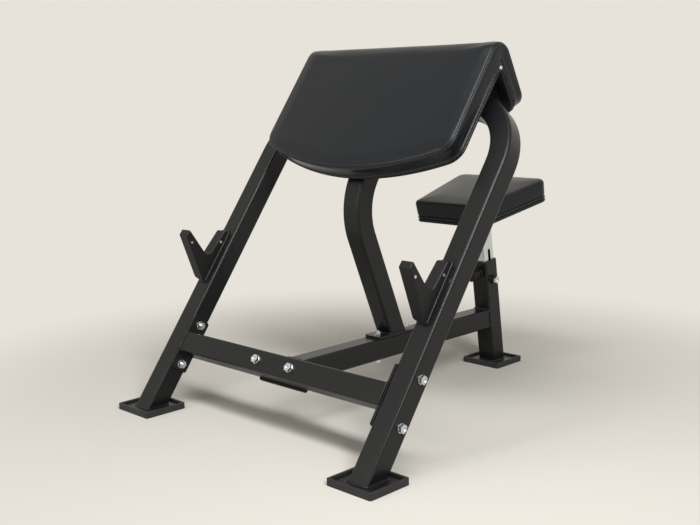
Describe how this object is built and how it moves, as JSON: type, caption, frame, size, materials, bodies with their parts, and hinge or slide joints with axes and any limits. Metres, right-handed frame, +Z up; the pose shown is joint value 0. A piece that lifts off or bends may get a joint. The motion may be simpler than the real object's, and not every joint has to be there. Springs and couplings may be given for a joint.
{
  "type": "preacher curl bench",
  "caption": "Free-standing preacher curl bench with a wedge-shaped arm pad on a leaning tube frame, bar catches on the legs and a tapered seat on a sliding post.",
  "frame": {"origin": "on the floor, in the middle of the footprint: halfway between the front feet and the rear foot", "axes": "+X to the right seen from the front, +Y from the front feet back to the seat, +Z up"},
  "size_m": [0.816, 0.9732, 0.8333],
  "materials": {
    "powder_coated_steel": "satin",
    "vinyl": "satin",
    "rubber": "matte",
    "plastic": "matte",
    "zinc_plated_steel": "bright",
    "chrome": "polished",
    "plywood": "matte"
  },
  "bodies": {
    "frame": {"apex_angle": "zinc_plated_steel", "apex_screws": "zinc_plated_steel", "catch_screws": "zinc_plated_steel", "centre_post": "powder_coated_steel", "clamp_boss": "powder_coated_steel", "cover_tacks": "zinc_plated_steel", "cross_beam": "powder_coated_steel", "frame_bolts": "zinc_plated_steel", "frame_washers": "zinc_plated_steel", "front_board": "plywood", "front_cushion": "vinyl", "left_beam_plate": "powder_coated_steel", "left_catch_cover": "plastic", "left_catch_hook": "powder_coated_steel", "left_foot_plate": "powder_coated_steel", "left_foot_shoe": "rubber", "leg_frame": "powder_coated_steel", "limit_bolt": "zinc_plated_steel", "limit_boss": "powder_coated_steel", "lock_nuts": "zinc_plated_steel", "lower_pad_plate": "powder_coated_steel", "pad_bolt_washers": "zinc_plated_steel", "pad_bolts_long": "zinc_plated_steel", "pad_bolts_short": "zinc_plated_steel", "pad_inserts": "zinc_plated_steel", "post_base_plate": "powder_coated_steel", "post_bush": "plastic", "rail_end_plugs": "plastic", "rear_board": "plywood", "rear_cushion": "vinyl", "rear_foot_plate": "powder_coated_steel", "rear_foot_shoe": "rubber", "rear_post": "powder_coated_steel", "right_beam_plate": "powder_coated_steel", "right_catch_cover": "plastic", "right_catch_hook": "powder_coated_steel", "right_foot_plate": "powder_coated_steel", "right_foot_shoe": "rubber", "spine_front_plate": "powder_coated_steel", "spine_tube": "powder_coated_steel", "upper_pad_rail": "powder_coated_steel"},
    "seat": {"seat_post": "chrome", "seat_post_plug": "plastic", "seat_plate": "powder_coated_steel", "seat_board": "plywood", "seat_cushion": "vinyl", "seat_bolts": "zinc_plated_steel", "seat_washers": "zinc_plated_steel", "seat_inserts": "zinc_plated_steel"},
    "knob": {"clamp_knob": "plastic", "clamp_stud": "zinc_plated_steel"}
  },
  "joints": [
    {"name": "seat_slide", "type": "slide", "parent": "frame", "child": "seat", "axis": [0, -0.1435, 0.9897], "range_m": [-0.078, 0.06]},
    {"name": "clamp_knob_turn", "type": "hinge", "parent": "frame", "child": "knob", "pos_m": [0, 0.39483, 0.25632], "axis": [0, -0.9897, -0.1435], "range_deg": [0, 360]}
  ]
}
